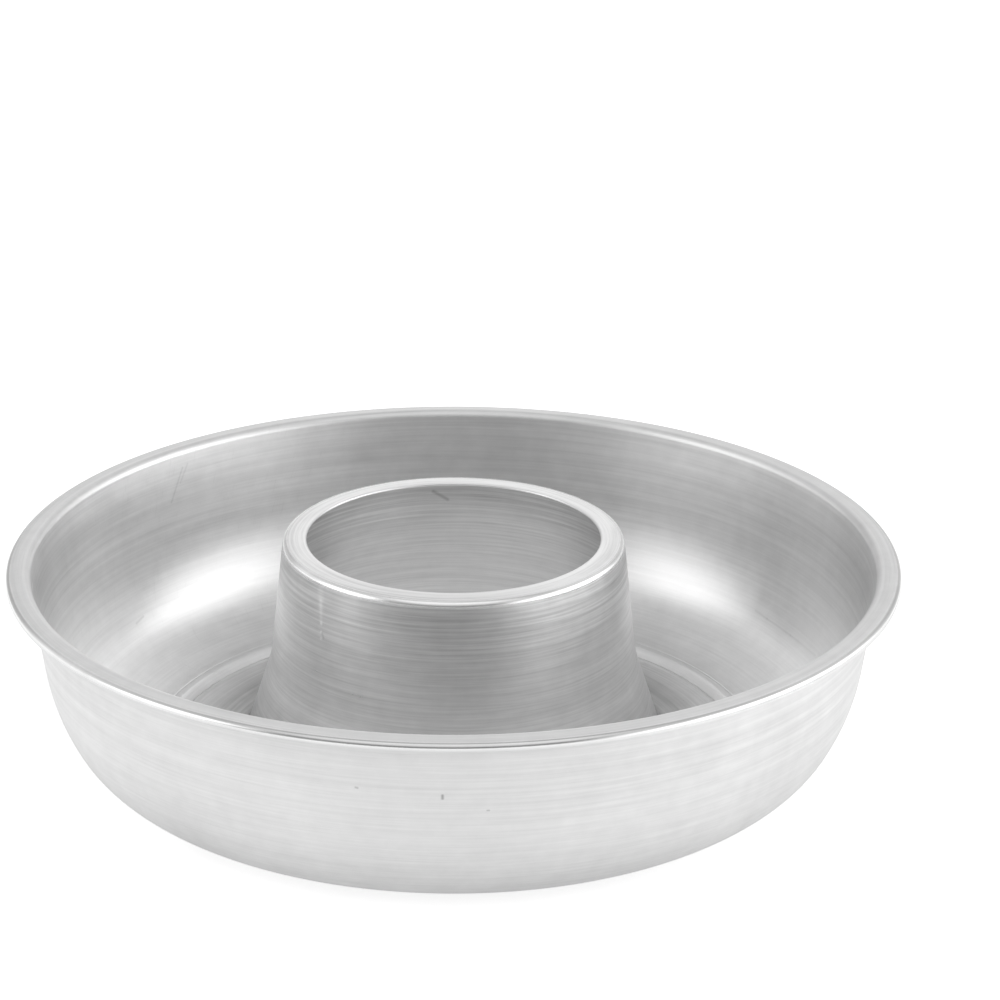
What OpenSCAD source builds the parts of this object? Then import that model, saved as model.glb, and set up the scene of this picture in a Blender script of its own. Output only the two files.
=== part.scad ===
// Ring cake mould of spun aluminium sheet: a round bowl with a turned-out rim, and an open
// centre tube whose foot is locked to the bowl's floor by a folded seam.
// Each piece is one sheet, so it is drawn as the section of its sheet, followed run by run and
// bend by bend from one cut edge to the other, and spun about the Z axis.
// Every bend is given by the radius on its inside, as a former for sheet has it.
// The mould rests on z = 0.

/* [Overall] */
// Diameter over the rim
rim_d = 280; // [256:1:320]
// Height of the rim's crest above the table
rim_h = 67.3; // [58:0.1:90]
// Height of the tube's mouth above the table
tube_h = 72.8; // [55:0.1:95]

/* [Bowl] */
// Thickness of the bowl's sheet
bowl_sheet = 0.8; // [0.5:0.1:1.5]
// Lean of the wall from upright, in degrees
wall_draft = 7.8; // [2:0.1:12]
// Radius of the long sweep below the wall
sweep_r = 60; // [45:1:75]
// Lean of the sheet where the sweep passes into the corner, in degrees
sweep_end = 28.5; // [20:0.5:40]
// Radius of the corner between the sweep and the floor
corner_r = 27; // [15:0.5:34]

/* [Rim] */
// Width of the flange, from the crest of its bend to its edge
flange_w = 5.2; // [4:0.1:12]
// Fall of the flange towards its edge, in degrees
flange_fall = 5; // [0:1:12]
// Radius of the bend between wall and flange
flange_bend_r = 1.9; // [1:0.1:4]
// Radius of the bend at the rim's edge
rim_edge_r = 0.7; // [0.3:0.1:1.2]
// Length of the straight lip that hangs from that bend
lip_len = 0.6; // [0.3:0.1:4]

/* [Tube] */
// Thickness of the tube's sheet
tube_sheet = 0.8; // [0.5:0.1:1.5]
// Diameter over the shoulder
tube_top_d = 107.8; // [104:0.2:124]
// Width of the mouth's flange, from the shoulder's side to the open mouth
mouth_flange_w = 7.65; // [5:0.05:16]
// Radius of the shoulder
shoulder_r = 1.1; // [0.5:0.1:2.5]
// Radius of the mouth's rolled edge
mouth_edge_r = 0.2; // [0.2:0.1:0.8]
// How far the mouth's edge is rolled down, in degrees
mouth_edge_turn = 45; // [20:5:80]
// Fall of the mouth's flange towards the shoulder, in degrees
mouth_fall = 3; // [0:1:6]
// Lean of the tube from upright, in degrees
tube_draft = 6.2; // [3:0.1:9]
// Lean of the tube's flared foot from upright, in degrees
flare_draft = 18; // [12:0.5:22]
// Height at which the flare begins
flare_h = 32.5; // [24:0.5:38]
// Radius that eases the tube into its flare
flare_r = 30; // [15:1:45]
// Radius between the flare and the floor
foot_r = 6; // [4:0.5:14]

/* [Seam] */
// Width of the folded seam between the bowl's floor and the tube's foot
seam_w = 6; // [5.2:0.1:9]
// Flat of the floor left between the seam and the bowl's corner
seam_land = 0.1; // [0.1:0.1:4]
// Play between two sheets in the seam
seam_play = 0.05; // [0.03:0.01:0.1]
// Gap between the end of a hem and the fold that it reaches into
hem_gap = 0.25; // [0.2:0.05:0.5]
// Width of the line that the seaming roll left along the seam's outer edge
roll_line_w = 0.9; // [0.5:0.1:1.5]
// Depth of that line
roll_line_depth = 0.15; // [0.05:0.05:0.3]

/* [Hidden] */
$fn = 96;
rim_r = rim_d / 2;
mouth_r = tube_top_d / 2 - mouth_flange_w;
// Largest turn between two points of a bend, in degrees
bend_step = 5;

// The four sheets of the seam, from the table up, are the tube's foot, the bowl's hem, the
// tube's hem and the bowl's floor. Each fold goes round the other piece's hem.
bowl_pitch = bowl_sheet / 2 + seam_play + tube_sheet / 2;
bowl_fold_r = tube_sheet / 2 + seam_play;
tube_fold_r = bowl_sheet / 2 + seam_play;
foot_z = tube_sheet / 2;
floor_z = foot_z + 3 * bowl_pitch;

// Middle line of each of the bowl's bends
rim_edge_m = rim_edge_r + bowl_sheet / 2;
flange_bend_m = flange_bend_r + bowl_sheet / 2;
sweep_m = sweep_r + bowl_sheet / 2;
corner_m = corner_r + bowl_sheet / 2;
// Centre of the bend between wall and flange
crest_r = rim_r - flange_w;
crest_z = rim_h - flange_bend_r - bowl_sheet;
// Straight run of the flange, between its two bends
flange_len = (flange_w - rim_edge_r - bowl_sheet
    - (flange_bend_m - rim_edge_m) * sin(flange_fall)) / cos(flange_fall);
// Centre of the bend at the rim's edge
rim_edge_z = crest_z - flange_len * sin(flange_fall)
    + (flange_bend_m - rim_edge_m) * cos(flange_fall);
// Straight run of the wall, which takes up the height that the bends leave
wall_len = (crest_z - floor_z + (flange_bend_m + sweep_m) * sin(wall_draft)
    - (sweep_m - corner_m) * sin(sweep_end) - corner_m) / cos(wall_draft);
// Radius at which the corner meets the floor
corner_end_r = crest_r - (flange_bend_m + sweep_m) * cos(wall_draft)
    - wall_len * sin(wall_draft) + (sweep_m - corner_m) * cos(sweep_end);

// Outer and inner edge of the seam, and the centres of its two folds
seam_out_r = corner_end_r - seam_land;
seam_in_r = seam_out_r - seam_w;
tube_fold_cr = seam_out_r - tube_fold_r - tube_sheet;
bowl_fold_cr = seam_in_r + bowl_fold_r + bowl_sheet;
hem_len = tube_fold_cr - bowl_fold_cr;

// Middle line of each of the tube's bends
mouth_edge_m = mouth_edge_r + tube_sheet / 2;
shoulder_m = shoulder_r + tube_sheet / 2;
flare_m = flare_r + tube_sheet / 2;
foot_m = foot_r + tube_sheet / 2;
// Heading of the sheet at the mouth's edge, and the centre of the bend there
mouth_start = mouth_edge_turn - mouth_fall;
mouth_edge_cr = mouth_r + tube_sheet / 2 + mouth_edge_m * sin(mouth_start);
mouth_edge_cz = tube_h - mouth_edge_r - tube_sheet;
// Centre of the shoulder, and the straight run of the mouth's flange up to it
shoulder_cr = tube_top_d / 2 - shoulder_r - tube_sheet;
mouth_len = (shoulder_cr - mouth_edge_cr + (shoulder_m - mouth_edge_m) * sin(mouth_fall))
    / cos(mouth_fall);
shoulder_cz = mouth_edge_cz - mouth_len * sin(mouth_fall)
    - (shoulder_m - mouth_edge_m) * cos(mouth_fall);
// Length that the easing bend takes from each of the two straight runs it joins
flare_take = flare_m * tan((flare_draft - tube_draft) / 2);
// Straight run of the tube, and of its flare down to the bend at the foot
tube_run = (shoulder_cz + shoulder_m * sin(tube_draft) - flare_h) / cos(tube_draft);
flare_run = (flare_h - foot_z - foot_m * (1 - sin(flare_draft))) / cos(flare_draft);
// Radius at which the foot's bend meets the floor
foot_end_r = shoulder_cr + shoulder_m * cos(tube_draft) + tube_run * sin(tube_draft)
    + flare_run * sin(flare_draft) + foot_m * cos(flare_draft);

// A step of a section is a straight run, or a bend to the left or, where its angle is
// negative, to the right
function run(length) = [length, 0, 0];
function bend(radius, angle) = [0, radius, angle];

// Stations along the middle line of a sheet: [x, y, heading]
function stations(steps, at, i = 0) =
    i == len(steps) ? [] :
    let (passed = steps[i].z == 0 ? straight(steps[i].x, at) : arc(steps[i].y, steps[i].z, at))
        concat(passed, stations(steps, passed[len(passed) - 1], i + 1));

function straight(length, at) =
    [[at.x + length * cos(at.z), at.y + length * sin(at.z), at.z]];

function arc(radius, angle, at) =
    let (
        side = sign(angle) * radius,
        centre = [at.x - side * sin(at.z), at.y + side * cos(at.z)],
        pieces = ceil(abs(angle) / bend_step)
    )
    [for (k = [1:pieces]) let (heading = at.z + angle * k / pieces)
        [centre.x + side * sin(heading), centre.y - side * cos(heading), heading]];

// Face of the sheet on the left of its stations, or on the right for a negative offset
function face(stations, offset) =
    [for (s = stations) [s.x - offset * sin(s.z), s.y + offset * cos(s.z)]];

// Round edge that closes the sheet behind its first station
function round_edge(at, radius) =
    [for (turn = [-60:30:60]) [at.x - radius * cos(at.z - turn), at.y - radius * sin(at.z - turn)]];

// Section of a sheet that starts at a station and follows the steps
module sheet_section(steps, start, sheet) {
    along = concat([start], stations(steps, start));
    right = face(along, -sheet / 2);
    polygon(concat(
        round_edge(start, sheet / 2),
        face(along, sheet / 2),
        [for (i = [len(right) - 1:-1:0]) right[i]]
    ));
}

// Bowl: lip, rim edge, flange, wall, sweep, corner, floor, and the fold and hem of the seam
module outer_pan() {
    steps = [
        run(lip_len),
        bend(rim_edge_m, 90 - flange_fall),
        run(flange_len),
        bend(flange_bend_m, 90 + flange_fall - wall_draft),
        run(wall_len),
        bend(sweep_m, wall_draft - sweep_end),
        bend(corner_m, sweep_end - 90),
        run(corner_end_r - bowl_fold_cr),
        bend(bowl_fold_r + bowl_sheet / 2, 180),
        run(hem_len - hem_gap)
    ];
    color("gainsboro")
        difference() {
            rotate_extrude()
                sheet_section(steps, [rim_r - bowl_sheet / 2, rim_edge_z - lip_len, 90], bowl_sheet);
            roll_line();
        }
}

// Fine line pressed into the floor along the outer edge of the seam
module roll_line() {
    roll_r = (pow(roll_line_w / 2, 2) + pow(roll_line_depth, 2)) / (2 * roll_line_depth);
    rotate_extrude()
        translate([
            seam_out_r - roll_line_w / 2,
            floor_z + bowl_sheet / 2 + roll_r - roll_line_depth
        ])
            circle(roll_r);
}

// Tube: rolled mouth edge, mouth flange, shoulder, tube, flare, foot, and its fold and hem
module centre_tube() {
    steps = [
        bend(mouth_edge_m, -mouth_edge_turn),
        run(mouth_len),
        bend(shoulder_m, mouth_fall + tube_draft - 90),
        run(tube_run - flare_take),
        bend(flare_m, flare_draft - tube_draft),
        run(flare_run - flare_take),
        bend(foot_m, 90 - flare_draft),
        run(tube_fold_cr - foot_end_r),
        bend(tube_fold_r + tube_sheet / 2, 180),
        run(hem_len - hem_gap)
    ];
    color("silver")
        rotate_extrude()
            sheet_section(steps, [
                mouth_edge_cr - mouth_edge_m * sin(mouth_start),
                mouth_edge_cz + mouth_edge_m * cos(mouth_start),
                mouth_start
            ], tube_sheet);
}

outer_pan();
centre_tube();
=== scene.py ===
# %% [markdown]
# # A ring cake mould of spun aluminium
#
# The real mould is two sheets of aluminium: a bowl that was pressed and spun, and a tube that was
# turned on a lathe. A folded seam in the floor locks them together. Blender only dresses the two
# solids here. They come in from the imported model, and this file makes a finer skin for each.

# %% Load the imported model
import math
from math import cos, radians, sin, tan
import bpy
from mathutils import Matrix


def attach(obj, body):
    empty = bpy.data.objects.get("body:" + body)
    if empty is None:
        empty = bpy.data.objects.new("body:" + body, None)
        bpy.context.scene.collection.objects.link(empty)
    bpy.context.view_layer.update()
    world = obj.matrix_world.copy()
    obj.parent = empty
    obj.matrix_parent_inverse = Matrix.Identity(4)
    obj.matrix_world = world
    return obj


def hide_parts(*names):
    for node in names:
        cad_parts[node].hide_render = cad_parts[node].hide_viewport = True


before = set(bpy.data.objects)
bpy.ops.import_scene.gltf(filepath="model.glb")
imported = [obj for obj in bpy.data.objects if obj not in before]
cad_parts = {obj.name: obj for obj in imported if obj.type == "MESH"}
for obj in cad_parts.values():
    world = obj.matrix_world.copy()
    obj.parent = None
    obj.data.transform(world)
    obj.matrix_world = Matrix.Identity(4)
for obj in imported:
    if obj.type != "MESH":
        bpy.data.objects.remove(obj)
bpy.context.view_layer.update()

# %% [markdown]
# ## The camera
#
# The camera stands where the photographer's stood. Its place, lens and tilt were worked out from
# the ellipses of the rim and of the tube's mouth. A camera can frame an object off centre by
# turning or by shifting its picture. Turning would skew the ellipses, and the photograph's are
# upright, so the picture is shifted sideways.

# %% Set up the camera
scene = bpy.context.scene
REACH = 0.98             # metres from the camera to the middle of the rim
ELEVATION = 22.11        # degrees above the rim's plane
RIM_PLANE = 0.06565      # height of that plane, in metres
TILT = 21.073            # degrees below the horizon
FOCAL_LENGTH = 112.11    # millimetres, behind a sensor 36 mm wide
SIDE_SHIFT = 0.04636     # share of the picture's width

lens = bpy.data.cameras.new("camera")
lens.sensor_width = 36
lens.lens = FOCAL_LENGTH
lens.shift_x = SIDE_SHIFT
lens.clip_start = 0.01
camera = bpy.data.objects.new("camera", lens)
camera.location = (0, -REACH * cos(radians(ELEVATION)), RIM_PLANE + REACH * sin(radians(ELEVATION)))
camera.rotation_euler = (radians(90 - TILT), 0, 0)
scene.collection.objects.link(camera)
scene.camera = camera
print("camera at", [round(x, 4) for x in camera.location])

# %% [markdown]
# ## The section of a sheet
#
# A spun sheet is known by its section: straight runs and round bends, from one cut edge to the
# other. A section could be drawn point by point, but then nobody could read its sizes. Here it is
# followed like a path. Each step goes straight on or turns, and the sheet lies half to the left
# and half to the right of the path. Sizes are millimetres, as in the part's source.

# %% Follow a path of runs and bends
TURN = 3                 # largest turn between two points, in degrees
CLOSE = 0.25             # how near a run's end its extra point lies


def run(length, *marks):
    """Straight on. Two points close to the ends keep the shading of a long run flat."""
    ends = [CLOSE, length - CLOSE] if length > 6 * CLOSE else []
    return "run", sorted([*ends, *marks, length])


def fine_run(length, step=0.3):
    """Straight on through a place that is pressed out of shape afterwards."""
    return run(length, *[step * k for k in range(2, int(length / step))])


def bend(radius, angle):
    """To the left, or to the right where the angle is negative."""
    return "bend", radius, angle


def follow(steps, r, z, heading):
    """The path's points, each with its distance from the axis, its height and its heading."""
    path = [(r, z, heading)]
    for step in steps:
        r, z, heading = path[-1]
        if step[0] == "run":
            path += [(r + d * cos(radians(heading)), z + d * sin(radians(heading)), heading)
                     for d in step[1]]
            continue
        _, radius, angle = step
        side = math.copysign(radius, angle)
        centre_r = r - side * sin(radians(heading))
        centre_z = z + side * cos(radians(heading))
        count = math.ceil(abs(angle) / TURN)
        for k in range(1, count + 1):
            now = heading + angle * k / count
            path.append((centre_r + side * sin(radians(now)), centre_z - side * cos(radians(now)), now))
    return path


def outline(path, sheet):
    """Closed outline of the sheet round its path, with its first edge rounded."""
    half = sheet / 2
    r, z, heading = path[0]
    edge = [(r - half * cos(radians(heading - a)), z - half * sin(radians(heading - a)))
            for a in range(-75, 90, 15)]
    left = [(r - half * sin(radians(h)), z + half * cos(radians(h))) for r, z, h in path]
    right = [(r + half * sin(radians(h)), z - half * cos(radians(h))) for r, z, h in path]
    return edge + left + right[::-1]


# %% [markdown]
# ## The seam
#
# The tube is held by a folded seam, as a tin's bottom is. The bowl's floor folds back under
# itself, the tube's foot folds back over itself, and each fold hooks round the other's hem. From
# the table up that makes four sheets. A roller then pressed them flat, and flatter at the inner edge
# than at the outer. The sizes that both sheets share come first, so that the two hooks always meet.

# %% Sizes that both sheets share
RIM_R = 140
RIM_H = 67.3
SHEET = 0.8                         # thickness
PLAY = 0.05                         # gap between two sheets of the seam
PITCH = SHEET + PLAY
FOOT_Z = SHEET / 2                  # middle of the tube's foot, which lies on the table
FLOOR_Z = FOOT_Z + 3 * PITCH        # middle of the bowl's floor, the seam's fourth sheet
FOLD = SHEET + PLAY                 # radius of a fold's middle line
SEAM_W = 6
HEM_GAP = 0.25                      # between a hem's edge and the other sheet's fold

# %% [markdown]
# ## The bowl's section
#
# The bowl starts at the lip under its rim. The flange falls a little towards its edge, a round
# bend takes it into the wall, and the wall leans into a long sweep and a tighter corner. The wall
# is as long as the height leaves room for, so it is worked out and not given. Every radius is that
# of the former's edge, and half a sheet is added to reach the sheet's middle.

# %% Work out the bowl
WALL_LEAN = 7.8                     # degrees from upright
SWEEP_END = 28.5                    # lean at which the sweep goes over into the corner
FLANGE_FALL = 5
FLANGE_W = 5.2
LIP = 0.6
EDGE_BEND = 0.7 + SHEET / 2
FLANGE_BEND = 1.9 + SHEET / 2
SWEEP = 60 + SHEET / 2
CORNER = 27 + SHEET / 2

crest_r = RIM_R - FLANGE_W
crest_z = RIM_H - FLANGE_BEND - SHEET / 2
flange_len = ((FLANGE_W - EDGE_BEND - SHEET / 2 - (FLANGE_BEND - EDGE_BEND) * sin(radians(FLANGE_FALL)))
              / cos(radians(FLANGE_FALL)))
edge_z = (crest_z - flange_len * sin(radians(FLANGE_FALL))
          + (FLANGE_BEND - EDGE_BEND) * cos(radians(FLANGE_FALL)))
wall_len = ((crest_z - FLOOR_Z + (FLANGE_BEND + SWEEP) * sin(radians(WALL_LEAN))
             - (SWEEP - CORNER) * sin(radians(SWEEP_END)) - CORNER) / cos(radians(WALL_LEAN)))
floor_r = (crest_r - (FLANGE_BEND + SWEEP) * cos(radians(WALL_LEAN)) - wall_len * sin(radians(WALL_LEAN))
           + (SWEEP - CORNER) * cos(radians(SWEEP_END)))
seam_out = floor_r - 0.1
seam_in = seam_out - SEAM_W
tube_fold_r = seam_out - PLAY - 1.5 * SHEET
bowl_fold_r = seam_in + PLAY + 1.5 * SHEET
hem = tube_fold_r - bowl_fold_r
print(f"wall {wall_len:.1f} mm, seam from {seam_in:.1f} to {seam_out:.1f} mm")

# %% [markdown]
# ## Rolling the seam
#
# Two marks of the seaming rolls show in the floor: a shallow line along the seam's outer edge, and
# a slope down to its inner edge. Both could be bends of the path, but then the folds would have to
# be fitted to them. Here the straight section is made first and its points are moved afterwards,
# as the rolls moved the sheet. The runs that are pressed get points close together.

# %% Draw the bowl's section and press it
ROLL_W = 0.9                        # width of the line along the seam's outer edge
ROLL_DEEP = 0.11
FLOOR_RUN = 1.2                     # the floor from the corner to where the pressed part begins
SLOPE_R = 95.2                      # the seam slopes from here inwards
SLOPE = 0.45                        # share of its height that it has lost at its inner edge
SLOPE_BACK = 2                      # beyond the seam the foot comes back to its height within this

bowl_path = follow([
    run(LIP),
    bend(EDGE_BEND, 90 - FLANGE_FALL),
    run(flange_len),
    bend(FLANGE_BEND, 90 + FLANGE_FALL - WALL_LEAN),
    run(wall_len),
    bend(SWEEP, WALL_LEAN - SWEEP_END),
    bend(CORNER, SWEEP_END - 90),
    run(FLOOR_RUN, *[0.1 + ROLL_W * k / 8 for k in range(9)]),
    fine_run(floor_r - bowl_fold_r - FLOOR_RUN),
    bend(FOLD, 180),
    fine_run(hem - HEM_GAP),
], RIM_R - SHEET / 2, edge_z - LIP, 90)


def press_line(r, z, start, width, deep, lowest):
    """A shallow round groove in the upper face of a sheet."""
    across = (r - start) / width
    return (r, z - deep * 4 * across * (1 - across)) if 0 < across < 1 and z > lowest else (r, z)


def roll_down(r, z):
    """The seam's four sheets, rolled flatter towards the seam's inner edge."""
    near = (SLOPE_R - r) / (SLOPE_R - seam_in) if r > seam_in else (r - seam_in) / SLOPE_BACK + 1
    near = min(max(near, 0), 1)
    return r, z * (1 - SLOPE * near * near * (3 - 2 * near))


bowl_outline = [roll_down(*press_line(r, z, seam_out - ROLL_W, ROLL_W, ROLL_DEEP, FLOOR_Z + 0.3))
                for r, z in outline(bowl_path, SHEET)]
print(f"bowl: {len(bowl_outline)} points")

# %% [markdown]
# ## The tube's section
#
# The tube starts at its mouth, where the edge is rolled down so that nobody cuts a finger. It
# leans outwards on its way down and flares where it meets the floor. The flare is eased in by a
# wide bend, which takes a little from both runs that it joins.
#
# Two details are pressed in afterwards, as on the bowl. A fine line runs round the mouth's flange
# where it goes over into the shoulder, and the foot rises in a bead against the seam, because the
# roller pushed the sheet ahead of it.

# %% Work out the tube
TUBE_H = 72.8
TUBE_TOP_R = 53.9
MOUTH_FLANGE = 7.65
MOUTH_FALL = 3                      # degrees
TUBE_LEAN = 6.2
FLARE_LEAN = 18
FLARE_H = 32.5                      # height at which the flare begins
MOUTH_BEND = 0.2 + SHEET / 2
SHOULDER = 1.1 + SHEET / 2
FLARE = 30 + SHEET / 2
FOOT = 6 + SHEET / 2
start_turn = 45 - MOUTH_FALL

mouth_r = TUBE_TOP_R - MOUTH_FLANGE + SHEET / 2 + MOUTH_BEND * sin(radians(start_turn))
mouth_z = TUBE_H - MOUTH_BEND - SHEET / 2
shoulder_r = TUBE_TOP_R - SHOULDER - SHEET / 2
mouth_len = ((shoulder_r - mouth_r + (SHOULDER - MOUTH_BEND) * sin(radians(MOUTH_FALL)))
             / cos(radians(MOUTH_FALL)))
shoulder_z = (mouth_z - mouth_len * sin(radians(MOUTH_FALL))
              - (SHOULDER - MOUTH_BEND) * cos(radians(MOUTH_FALL)))
ease = FLARE * tan(radians((FLARE_LEAN - TUBE_LEAN) / 2))
tube_len = (shoulder_z + SHOULDER * sin(radians(TUBE_LEAN)) - FLARE_H) / cos(radians(TUBE_LEAN))
flare_len = (FLARE_H - FOOT_Z - FOOT * (1 - sin(radians(FLARE_LEAN)))) / cos(radians(FLARE_LEAN))
foot_r = (shoulder_r + SHOULDER * cos(radians(TUBE_LEAN)) + tube_len * sin(radians(TUBE_LEAN))
          + flare_len * sin(radians(FLARE_LEAN)) + FOOT * cos(radians(FLARE_LEAN)))
print(f"tube: {tube_len:.1f} mm, foot meets the floor at {foot_r:.1f} mm")

# %% Draw the tube's section and press it
BEAD_W = 1.9                        # the bead rises over this width
BEAD_END = 0.12                     # and drops again within this
BEAD_H = 0.90
LINE_R = 51.75                      # inner edge of the line in the mouth's flange
LINE_W = 0.8
LINE_DEEP = 0.10
bead_r = seam_in + 0.03
bead_marks = [bead_r - foot_r + side * k / 8 for side in (-BEAD_W, BEAD_END) for k in range(9)]

tube_path = follow([
    bend(MOUTH_BEND, -45),
    run(mouth_len, mouth_len - 0.1, mouth_len - 0.17),
    bend(SHOULDER, MOUTH_FALL + TUBE_LEAN - 90),
    run(tube_len - ease),
    bend(FLARE, FLARE_LEAN - TUBE_LEAN),
    run(flare_len - ease),
    bend(FOOT, 90 - FLARE_LEAN),
    run(seam_in + 1 - foot_r, *bead_marks),
    fine_run(tube_fold_r - seam_in - 1),
    bend(FOLD, 180),
    fine_run(hem - HEM_GAP),
], mouth_r - MOUTH_BEND * sin(radians(start_turn)),
    mouth_z + MOUTH_BEND * cos(radians(start_turn)), start_turn)


def press_bead(r, z):
    """The foot's sheet, lifted against the seam by the roller."""
    away = (bead_r - r) / BEAD_W if r < bead_r else (r - bead_r) / BEAD_END
    return (r, z + BEAD_H * (1 - away) ** 2) if z < SHEET + 0.01 and away < 1 else (r, z)


tube_outline = [press_line(*press_bead(*roll_down(r, z)), LINE_R, LINE_W, LINE_DEEP, TUBE_H - 0.6)
                for r, z in outline(tube_path, SHEET)]
print(f"tube: {len(tube_outline)} points")

# %% [markdown]
# ## A lathe of nodes
#
# Both sheets follow one rule: the section goes once round the axis. Geometry Nodes can state that
# rule. A grid has one row for each point of the section and one column for each step round the
# axis. Every grid point looks up its row's point and turns it by its column's angle. A screw
# modifier would do nearly the same, but this tree can also let the sheet waver, as a hand-held
# sheet does, and more so the higher it stands above the table.

# %% Build the lathe
STEPS_ROUND = 240
WAVER = 0.00012          # metres that the sheet wavers from round, at the height given below
WAVER_H = 0.07

lathe = bpy.data.node_groups.new("lathe", "GeometryNodeTree")
for name, kind, way, value in [
    ("Section", "NodeSocketGeometry", "INPUT", None),
    ("Steps Round", "NodeSocketInt", "INPUT", STEPS_ROUND),
    ("Waver", "NodeSocketFloat", "INPUT", WAVER),
    ("Height", "NodeSocketFloat", "INPUT", WAVER_H),
    ("Seed", "NodeSocketFloat", "INPUT", 4.0),
    ("Metal", "NodeSocketMaterial", "INPUT", None),
    ("Sheet", "NodeSocketGeometry", "OUTPUT", None),
]:
    socket = lathe.interface.new_socket(name, in_out=way, socket_type=kind)
    if value is not None:
        socket.default_value = value


class Wire:
    """A socket that can be added and multiplied, so that node maths reads as a sum."""

    def __init__(self, desk, socket):
        self.desk = desk
        self.socket = socket

    def maths(self, operation, *others):
        return self.desk.node("ShaderNodeMath", {"operation": operation},
                              dict(enumerate([self, *others])))

    def __add__(self, other):
        return self.maths("ADD", other)

    def __sub__(self, other):
        return self.maths("SUBTRACT", other)

    def __rsub__(self, other):
        return self.desk.number(other).maths("SUBTRACT", self)

    def __mul__(self, other):
        return self.maths("MULTIPLY", other)

    def __truediv__(self, other):
        return self.maths("DIVIDE", other)

    def __pow__(self, other):
        return self.maths("POWER", other)

    def __mod__(self, other):
        return self.maths("MODULO", other)

    def clamp(self):
        return self.maths("MAXIMUM", 0).maths("MINIMUM", 1)


class Desk:
    """A node tree with one method that adds any node: its settings first, then its sockets."""

    def __init__(self, tree):
        self.tree = tree

    def node(self, kind, settings=None, values=None, out=0):
        made = self.tree.nodes.new(kind)
        for key, value in (settings or {}).items():
            setattr(made, key, value)
        for key, value in (values or {}).items():
            if isinstance(value, Wire):
                self.tree.links.new(value.socket, made.inputs[key])
            else:
                made.inputs[key].default_value = value
        return Wire(self, made.outputs[out]) if made.outputs else None

    def number(self, value):
        return self.node("ShaderNodeMath", {"operation": "ADD"}, {0: value, 1: 0})

    def parts(self, vector):
        split = self.node("ShaderNodeSeparateXYZ", values={0: vector}).socket.node
        return [Wire(self, split.outputs[k]) for k in range(3)]

    def smooth(self, value, low, high, start=0.0, end=1.0):
        """Goes softly from start to end while value goes from low to high."""
        return self.node("ShaderNodeMapRange", {"interpolation_type": "SMOOTHSTEP"},
                         {0: value, 1: low, 2: high, 3: start, 4: end})


desk = Desk(lathe)
given = desk.node("NodeGroupInput").socket.node
section_in, steps_in, waver_in, height_in, seed_in, metal_in = (
    Wire(desk, output) for output in list(given.outputs)[:6])
count = desk.node("GeometryNodeAttributeDomainSize", values={0: section_in})
grid = desk.node("GeometryNodeMeshGrid", values={
    "Size X": 1.0, "Size Y": 1.0, "Vertices X": count + 1, "Vertices Y": steps_in + 1})
index = desk.node("GeometryNodeInputIndex")
row = (index / (steps_in + 1) + 0.0001).maths("FLOOR")
column = index - row * (steps_in + 1)
angle = column / steps_in * (2 * math.pi)
position = desk.node("GeometryNodeInputPosition")
point = desk.node("GeometryNodeSampleIndex", {"data_type": "FLOAT_VECTOR"},
                  {"Geometry": section_in, "Value": position, "Index": row % count})
radius, _, height = desk.parts(point)
turn_x = angle.maths("COSINE")
turn_y = angle.maths("SINE")
ring_place = desk.node("ShaderNodeCombineXYZ", values={0: turn_x, 1: turn_y, 2: seed_in})
waver = desk.node("ShaderNodeTexNoise", {"noise_dimensions": "3D"},
                  {"Vector": ring_place, "Scale": 1.3, "Detail": 2.0})
lift = (height / height_in).clamp()
true_radius = radius - waver * waver_in * 2 * lift * lift
place = desk.node("ShaderNodeCombineXYZ",
                  values={0: true_radius * turn_x, 1: true_radius * turn_y, 2: height})
shaped = desk.node("GeometryNodeSetPosition", values={"Geometry": grid, "Position": place})
closed = desk.node("GeometryNodeMergeByDistance", values={"Geometry": shaped, "Distance": 1e-6})
smooth = desk.node("GeometryNodeSetShadeSmooth", values={0: closed})
whole = desk.node("GeometryNodeRealizeInstances", values={0: smooth})
dressed = desk.node("GeometryNodeSetMaterial", values={"Geometry": whole, "Material": metal_in})
desk.node("NodeGroupOutput", values={0: dressed})
print("lathe:", len(lathe.nodes), "nodes")

# %% [markdown]
# ## Turning the section into a piece
#
# The section's points become a small mesh, the tree is hung on it, and the evaluated result is
# copied into a plain mesh. The modifier is gone after that, so what is kept is only the shape. The
# faces have to point outwards, which the volume tells: it is negative for an inside-out shell.

# %% Spin a section
def spin(name, points, metal):
    """One piece: its section, spun and given its metal."""
    mesh = bpy.data.meshes.new(name + "_section")
    mesh.from_pydata([(r / 1000, 0, z / 1000) for r, z in points], [], [])
    line = bpy.data.objects.new(name + "_section", mesh)
    scene.collection.objects.link(line)
    modifier = line.modifiers.new("lathe", "NODES")
    modifier.node_group = lathe
    settings = {"Steps Round": STEPS_ROUND, "Metal": metal}
    for item in lathe.interface.items_tree:
        if item.in_out == "INPUT" and item.name in settings:
            modifier[item.identifier] = settings[item.name]
    bpy.context.view_layer.update()
    spun = bpy.data.meshes.new_from_object(line.evaluated_get(bpy.context.evaluated_depsgraph_get()))
    line.modifiers.clear()
    bpy.data.objects.remove(line)
    spun.name = name
    spun.materials.clear()
    spun.materials.append(metal)
    volume = sum(f.center.dot(f.normal) * f.area for f in spun.polygons) / 3
    if volume < 0:
        spun.flip_normals()
    piece = bpy.data.objects.new(name, spun)
    scene.collection.objects.link(piece)
    print(f"{name}: {len(spun.polygons)} faces, {abs(volume) * 1e9:.0f} mm3, material {metal.name}")
    return piece


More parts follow.
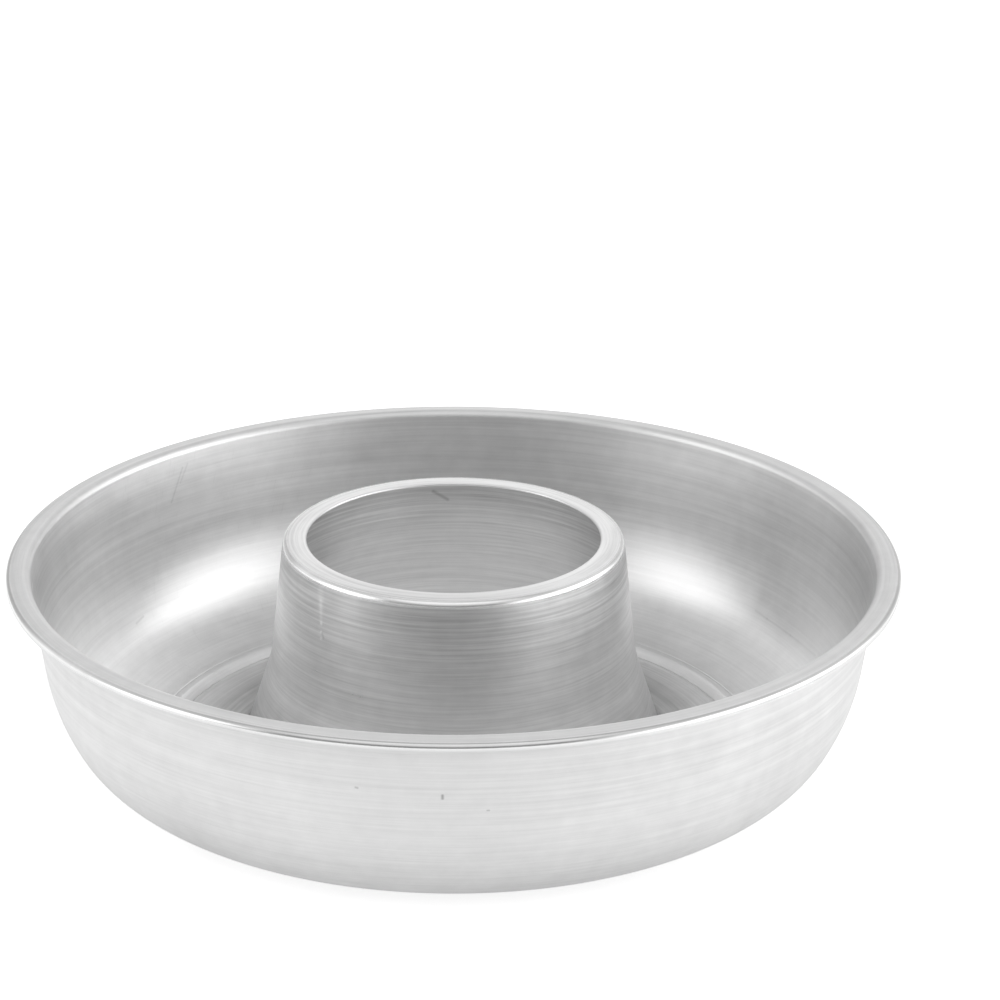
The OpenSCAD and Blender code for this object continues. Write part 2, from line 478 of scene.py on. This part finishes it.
# %% [markdown]
# ## Spun metal
#
# Bare aluminium has no colour of its own: it shows the room. What makes it look spun are the
# marks of the tool. They run round the axis, so they spread each reflection across themselves,
# up and down the wall, and hardly along it. Anisotropy gives that spread. The marks that are
# wide enough to see are laid over it as bump, as grey and as roughness.
#
# Every pattern here starts from the same few numbers: how far a spot is from the axis, how high
# it is, and in which direction it lies. The direction is a pair, cosine and sine, because a plain
# angle would jump from 360 to 0 and leave a join down one side. Turned lines are noise that is
# stretched round the axis, drawn streaks are noise that is stretched down the wall, and a mask can
# keep either to one side of the piece.

# %% Marks of the lathe and of the press
class Spot:
    """A spot on a round piece: distance from the axis, height, and direction."""

    def __init__(self, desk):
        self.desk = desk
        self.place = desk.node("ShaderNodeTexCoord", out=3)
        x, y, self.height = desk.parts(self.place)
        self.ring = (x * x + y * y) ** 0.5
        self.east = x / self.ring
        self.north = y / self.ring
        face_x, face_y, face_z = desk.parts(desk.node("ShaderNodeTexCoord", out=1))
        # 1 on the faces that look towards the axis or up, 0 on the others
        self.inside = desk.smooth(face_z * 0.5 - face_x * self.east - face_y * self.north, -0.1, 0.1)

    def noise(self, vector, w, detail):
        return self.desk.node("ShaderNodeTexNoise", {"noise_dimensions": "4D"}, {
            "Vector": self.desk.node("ShaderNodeCombineXYZ", values=dict(enumerate(vector))), "W": w,
            "Scale": 1.0, "Detail": detail, "Roughness": 0.6}) - 0.5

    def turned(self, across, around, seed, detail=2.0):
        """Lines that a tool left while the sheet turned: long round the axis, fine across."""
        return self.noise((self.ring * across + seed, self.height * across, self.east * around),
                          self.north * around, detail)

    def drawn(self, across, along, slant, seed):
        """Streaks down the wall, where the sheet slid over the press ring, leaning round the axis."""
        lean = self.height * slant
        east = self.east - self.north * lean
        north = self.north + self.east * lean
        down_the_wall = (self.ring + self.height) * along
        return self.noise((east * across, north * across, down_the_wall), seed, 3.0)

    def toward(self, azimuth, spread):
        """1 in one direction from the axis, and down to 0 at the spread to either side."""
        a = radians(azimuth)
        return self.desk.smooth(self.east * sin(a) + self.north * cos(a), cos(radians(spread)), 1.0)

    def mark(self, start, end, width):
        """A scratch, smear or speck between two places, which are given in millimetres."""
        way = [(b - a) / 1000 for a, b in zip(start, end)]
        from_start = self.vector("SUBTRACT", {0: self.place, 1: [a / 1000 for a in start]})
        along = (self.vector("DOT_PRODUCT", {0: from_start, 1: way}, 1) / sum(c * c for c in way)).clamp()
        nearest = self.vector("SCALE", {0: way, 3: along})
        away = self.vector("DISTANCE", {0: from_start, 1: nearest}, 1)
        return self.desk.smooth(away, width / 1000, 0)

    def vector(self, operation, values, out=0):
        return self.desk.node("ShaderNodeVectorMath", {"operation": operation}, values, out)

    def blotch(self, scale, seed):
        """Cloudy patches, where the sheet was touched or dulled."""
        return self.desk.node("ShaderNodeTexNoise", {"noise_dimensions": "4D"}, {
            "Vector": self.place, "W": seed, "Scale": scale, "Detail": 4.0, "Roughness": 0.55}) - 0.5


# %% [markdown]
# ## From patterns to metal
#
# A finish is built from three sums. The tone is 0 where the metal is plain, and goes up or down by
# shares of its grey. The height drives the bump, and the roughness is used as it is. Anisotropy
# has to be one number for each shine, because it can't be baked into a picture when the model is
# exported. Where a piece needs two, it gets two shines that a mask mixes.

# %% Skin and shine
def skin(desk, grey, tone, height, bump):
    """Colour and surface of metal. The mix goes from black to twice the grey, so plain is its middle."""
    colour = desk.node("ShaderNodeMix", {"data_type": "RGBA"},
                       {0: (tone * 0.5 + 0.5).clamp(), 6: (0, 0, 0, 1), 7: (grey * 2,) * 3 + (1,)}, out=2)
    normal = desk.node("ShaderNodeBump", values={"Strength": 1.0, "Distance": bump, "Height": height})
    return colour, normal


def shine(desk, colour, normal, roughness, anisotropy):
    """Bare metal that spreads its reflections across the tool's marks."""
    return desk.node("ShaderNodeBsdfPrincipled", values={
        "Base Color": colour, "Metallic": 1.0, "Roughness": roughness,
        "Anisotropic": anisotropy, "Anisotropic Rotation": 0.25, "Normal": normal})


def new_metal(name):
    """An empty material and the desk on which its nodes are laid."""
    metal = bpy.data.materials.new(name)
    metal.use_nodes = True
    metal.node_tree.nodes.clear()
    return metal, Desk(metal.node_tree)


# %% [markdown]
# ## The bowl's finish
#
# The bowl was drawn over a press ring and then turned. The press left leaning scuffs on one side
# of the inside, and the lathe left rings, most of them on the upper wall. The edge of the rim was
# burnished by the roller that bent it. It is nearly a mirror there and shows the dark side of the
# tent as a thin line. In use the mould got scratches, a dent below the rim and a few specks; the dent
# is shown by a painted glint. Each of these is one short mark between two places, because they are
# single things and not a pattern.

# %% The bowl's patterns
BOWL_GREY = 0.80
BOWL_BUMP = 4e-6         # metres that a pattern of height 1 stands up
OUTSIDE_SPREAD = 0.55    # anisotropy where only the lathe left marks
INSIDE_SPREAD = 0.30     # and where the press's marks cross them

bowl_metal, desk = new_metal("bowl_metal")
spot = Spot(desk)
lines = spot.turned(across=1500, around=5, seed=3.0)
rings = spot.turned(across=620, around=1.0, seed=11.0, detail=4.0)
mottle = spot.blotch(scale=170, seed=5.0)
blotches = spot.blotch(scale=34, seed=2.0)
streaks = desk.smooth(spot.drawn(across=260, along=70, slant=3.0, seed=5.0), 0.10, 0.20)
scuffs = streaks * spot.inside * spot.toward(azimuth=300, spread=75)

# Zones, by height above the table and by distance from the axis, in metres: the wall below the rim,
# the floor over the seam, the wall above the corner, and the rim's outermost edge.
SEAM_MIDDLE = 0.0925
rim = desk.smooth(spot.height, 0.054, 0.0645)
fold = desk.smooth((spot.ring - SEAM_MIDDLE).maths("ABSOLUTE"), 0.0022, 0.0004)
upper = desk.smooth(spot.height, 0.022, 0.042)
edge = desk.smooth(spot.ring, 0.1378, 0.1390) * desk.smooth(spot.height, 0.0647, 0.0656)
# In the tone, fold raises the grey at the seam's inner fold: painted light that lifts the shade in that
# crevice.
tone = (lines * 0.16 + rings * (spot.inside * 0.08 + upper * 0.16 + 0.12) + mottle * 0.16 + blotches * 0.18
        - scuffs * 0.06 + fold * 0.12)

# %% Single marks on the bowl, and its metal
BOWL_MARKS = [           # from, to, width (millimetres), change of tone
    ((-93.0, 92.9, 60.8), (-96.6, 87.0, 50.2), 0.6, -0.12),
    ((-91.4, 94.6, 61.6), (-93.7, 91.2, 55.9), 0.6, -0.10),
    ((102.6, 66.6, 18.7), (106.1, 60.6, 18.2), 0.6, -0.10),
    ((106.1, 60.6, 18.2), (112.6, 47.0, 18.0), 0.6, -0.10),
    ((112.6, 47.0, 18.0), (118.9, 28.8, 18.8), 0.6, -0.08),
    ((-107.1, 58.0, 17.6), (-105.1, 62.3, 18.4), 0.7, -0.15),
    # A dent below the rim, shown only by a painted glint, a light mark.
    ((-130.9, -13.9, 62.2), (-130.3, -18.5, 61.5), 0.7, 0.5),
    ((-3.1, -130.4, 46.9), (-3.1, -130.3, 45.9), 0.7, -0.45),
    ((-27.3, -127.7, 48.1), (-26.8, -127.8, 48.0), 0.6, -0.3),
    ((9.4, -129.4, 41.8), (9.9, -129.4, 41.8), 0.5, -0.3),
]
for start, end, width, strength in BOWL_MARKS:
    tone = tone + spot.mark(start, end, width) * strength
rough = (lines * 0.08 + mottle * 0.10 + blotches * 0.10 + rim * 0.10 + fold * 0.25
         - spot.inside * 0.07 - edge * 0.34 + 0.42)
colour, normal = skin(desk, BOWL_GREY, tone, lines * 0.2 + rings + mottle * 2 - scuffs, BOWL_BUMP)
turned_shine = shine(desk, colour, normal, rough, OUTSIDE_SPREAD)
drawn_shine = shine(desk, colour, normal, rough, INSIDE_SPREAD)
both = desk.node("ShaderNodeMixShader", values={0: spot.inside, 1: turned_shine, 2: drawn_shine})
desk.node("ShaderNodeOutputMaterial", values={"Surface": both})
print("bowl's metal:", len(desk.tree.nodes), "nodes")

# %% [markdown]
# ## The tube's finish
#
# The tube was turned only, so its lines are finer and clearer, and strongest below the mouth, where
# the tool pressed hardest. The mouth's flange is polished, and its paler grey is a painted sheen; the
# line in it is painted darker as painted shade. The foot is the darkest place, painted shade where the
# tube meets the floor, and the inside just below the mouth is painted darker as well. A light streak
# below the mouth is a painted highlight; hands left a few dots there.

# %% The tube's patterns
TUBE_GREY = 0.725
TUBE_BUMP = 5e-6
TUBE_SPREAD = 0.70       # anisotropy

tube_metal, desk = new_metal("tube_metal")
spot = Spot(desk)
lines = spot.turned(across=1700, around=3, seed=3.0)
rings = spot.turned(across=1100, around=1.1, seed=11.0, detail=3.0)
mottle = spot.blotch(scale=170, seed=7.0)
blotches = spot.blotch(scale=40, seed=6.0)

# Zones, in metres: the wall below the mouth, the mouth's flange, the line in it, the foot, the
# inside near the mouth, the floor over the seam, and the shoulder's bend.
grip = desk.smooth(spot.height, 0.045, 0.068)
# The flange is painted paler in the tone below: a painted sheen.
top = desk.smooth(spot.height, 0.0700, 0.0708)
line_middle = (LINE_R + LINE_W / 2) / 1000
# The line is painted darker in the tone below: painted shade in its groove.
line = desk.smooth((spot.ring - line_middle).maths("ABSOLUTE"), 0.0005, 0.0002) * top
# Painted shade: the foot and the bottom of the flare are painted darker where the tube meets the floor.
painted_foot_shade = desk.smooth(spot.height, 0.0130, 0.0040) * desk.smooth(spot.ring, 0.076, 0.0915, 1.0, 0.15)
body = 1 - top
# Painted shade: the inside just below the mouth is painted darker, and the rest of the inside a little
# lighter in the tone below.
painted_throat_shade = desk.smooth(spot.height, 0.058, 0.071) * spot.inside
fold = desk.smooth(spot.ring, 0.0895, 0.0915)
shoulder = desk.smooth(spot.ring, 0.0513, 0.0526) * desk.smooth(spot.height, 0.0700, 0.0711)
tone = (lines * 0.25 + rings * (grip * 0.5 + 0.45) + mottle * 0.18 + blotches * 0.16
        + top * 0.31 - line * 0.25 - painted_foot_shade * 0.50 - painted_throat_shade * body * 0.2 + spot.inside * body * 0.04)

# %% Single marks on the tube, and its metal
TUBE_MARKS = [           # from, to, width (millimetres), change of tone
    # The first two rows paint a light streak down the tube, a painted highlight; the rows after them are
    # dots and a smudge.
    ((-40.4, -35.9, 69.0), (-40.4, -36.8, 63.5), 2.2, 0.12),
    ((-40.4, -36.4, 66.0), (-40.35, -37.6, 58.8), 1.1, 0.12),
    ((-40.35, -37.6, 59.1), (-40.3, -37.6, 58.9), 0.8, 0.22),
    ((-40.3, -38.0, 56.4), (-40.5, -38.0, 56.2), 0.7, 0.25),
    ((-40.1, -38.3, 56.0), (-39.6, -38.9, 54.8), 0.8, -0.16),
    ((-40.4, -38.4, 54.3), (-40.6, -38.3, 54.1), 0.8, 0.22),
    ((-6.7, 52.9, 67.3), (-2.0, 53.6, 64.2), 1.0, -0.25),
]
for start, end, width, strength in TUBE_MARKS:
    tone = tone + spot.mark(start, end, width) * strength
rough = (rings * 0.10 + mottle * 0.10 + blotches * 0.10 + fold * 0.2
         - shoulder * 0.14 + grip * 0.07 + 0.31)
colour, normal = skin(desk, TUBE_GREY, tone, lines * 0.25 + rings * (grip + 1) + mottle, TUBE_BUMP)
turned_shine = shine(desk, colour, normal, rough, TUBE_SPREAD)
desk.node("ShaderNodeOutputMaterial", values={"Surface": turned_shine})
print("tube's metal:", len(desk.tree.nodes), "nodes")

# %% [markdown]
# ## The two pieces
#
# Each sheet takes the place of its imported node, which is hidden. Both ride on the same body,
# because the seam is rigid.

# %% Spin the bowl and the tube
bowl = spin("bowl_sheet", bowl_outline, bowl_metal)
tube = spin("tube_sheet", tube_outline, tube_metal)
for piece, node, slot in [(bowl, "outer_pan", "pan_aluminium"), (tube, "centre_tube", "tube_aluminium")]:
    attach(piece, "root")
    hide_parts(node)

# %% [markdown]
# ## The table
#
# The photograph's table is so bright that it is white all over. A floor under more light would
# burn the metal out as well, so the floor's own colour does it: a part of what the camera sees of
# it is plain white, and the rest takes light and shadow, so the mould still stands on something.
#
# The metal mirrors the table too. Near the mould the table lies in the mould's own shade, so what
# the metal sees of it grows darker from 0.4 m inwards. It is darkest under the sheet and a little
# lighter again below the open tube. That can't come from the camera's floor, which has to stay
# white, so the rays that come from the metal get a floor of their own.

# %% Lay the floor
FLOOR_REACH = 6          # metres from the axis to the floor's sides
VEIL = 0.65              # the part that is plain white to the camera
TUBE_SHADE = (0.045, 0.085, 0.63, 0.37)    # begins and ends (metres), brightness there
BOWL_SHADE = (0.076, 0.154, 0.0, 0.66)     # and what the brightness gains further out
TABLE_SHADE = (0.2, 0.4, 0.0, 0.15)

floor_mesh = bpy.data.meshes.new("floor")
corners = [(x * FLOOR_REACH, y * FLOOR_REACH, 0) for x, y in ((-1, -1), (1, -1), (1, 1), (-1, 1))]
floor_mesh.from_pydata(corners, [], [(0, 1, 2, 3)])
floor = bpy.data.objects.new("floor", floor_mesh)
scene.collection.objects.link(floor)
floor_paint = bpy.data.materials.new("floor_white")
floor_paint.use_nodes = True
floor_paint.node_tree.nodes.clear()
desk = Desk(floor_paint.node_tree)
ray = desk.node("ShaderNodeLightPath").socket.node
to_camera = Wire(desk, ray.outputs["Is Camera Ray"])
mirror_ray = Wire(desk, ray.outputs["Is Glossy Ray"])
glass_ray = Wire(desk, ray.outputs["Is Transmission Ray"])
to_metal = (mirror_ray + glass_ray).clamp()
x, y, _ = desk.parts(desk.node("ShaderNodeTexCoord", out=3))
away = (x * x + y * y) ** 0.5
shade = (desk.smooth(away, *TUBE_SHADE) + desk.smooth(away, *BOWL_SHADE)
         + desk.smooth(away, *TABLE_SHADE))
matt = desk.node("ShaderNodeBsdfDiffuse", values={"Color": (0.8, 0.8, 0.8, 1)})
veil = desk.node("ShaderNodeEmission", values={"Color": (1, 1, 1, 1), "Strength": to_camera * VEIL})
lit = desk.node("ShaderNodeAddShader", values={0: matt, 1: veil})
mirrored = desk.node("ShaderNodeEmission", values={"Color": (1, 1, 1, 1), "Strength": shade})
both = desk.node("ShaderNodeMixShader", values={0: to_metal, 1: lit, 2: mirrored})
desk.node("ShaderNodeOutputMaterial", values={"Surface": both})
floor_mesh.materials.append(floor_paint)
print("floor:", len(desk.tree.nodes), "nodes")

# %% [markdown]
# ## The light
#
# The mould stood in a white tent, and metal shows all of a tent. Lamps set by taste would put
# their reflections in other places than the photograph's. So the tent was worked out: the mould
# was rendered in the light of one patch of the world at a time, and the strengths were found whose
# sum comes closest to the metal's tones. They turned out simple enough to be written as a tent
# that is dimmer towards its top and towards the camera, with four glows and two dim zones. The
# camera sees the tent's back as plain white.

# %% Light the tent
world = bpy.data.worlds.new("tent")
scene.world = world
world.use_nodes = True
world.node_tree.nodes.clear()
desk = Desk(world.node_tree)
ray = desk.node("ShaderNodeLightPath").socket.node
way = desk.node("ShaderNodeTexCoord", out=0)
_, way_y, way_z = desk.parts(way)


def glow(azimuth, elevation, half_width, strength):
    """Light round one direction. Azimuth 0 is behind the mould, 90 is on its right."""
    a, e = radians(azimuth), radians(elevation)
    towards = (sin(a) * cos(e), cos(a) * cos(e), sin(e))
    nearness = desk.node("ShaderNodeVectorMath", {"operation": "DOT_PRODUCT"}, {0: way, 1: towards}, out=1)
    return desk.smooth(nearness, cos(radians(half_width)), 1.0, 0.0, strength)


TENT_LEVEL = 1.22        # brightness at the horizon
TOP_LOSS = 0.78          # by so much it is dimmer overhead
CAMERA_LOSS = 0.82       # and by so much towards the camera
GLOWS = [                # azimuth, elevation and half width in degrees, brightness gained
    (102.5, 1, 53.7, 1.57),
    (254, 24, 28, 1.13),
    (180, 63, 45, 0.74),
    (0, 36, 28, 0.12),
    (330, 5, 35, -0.53),
    (30, 5, 35, -0.42),
]
tent = way_z.maths("MAXIMUM", 0) * -TOP_LOSS + TENT_LEVEL
camera_side = (way_y * -1).maths("MAXIMUM", 0) * CAMERA_LOSS
tent = tent - camera_side
for azimuth, elevation, half_width, strength in GLOWS:
    tent = tent + glow(azimuth, elevation, half_width, strength)
tent = tent.maths("MAXIMUM", 0)
seen = Wire(desk, ray.outputs["Is Camera Ray"])
brightness = seen + (1 - seen) * tent
light = desk.node("ShaderNodeBackground", values={"Color": (1, 1, 1, 1), "Strength": brightness})
desk.node("ShaderNodeOutputWorld", values={"Surface": light})
print("tent:", len(desk.tree.nodes), "nodes")

# %% Finish
scene.view_settings.view_transform = "Standard"
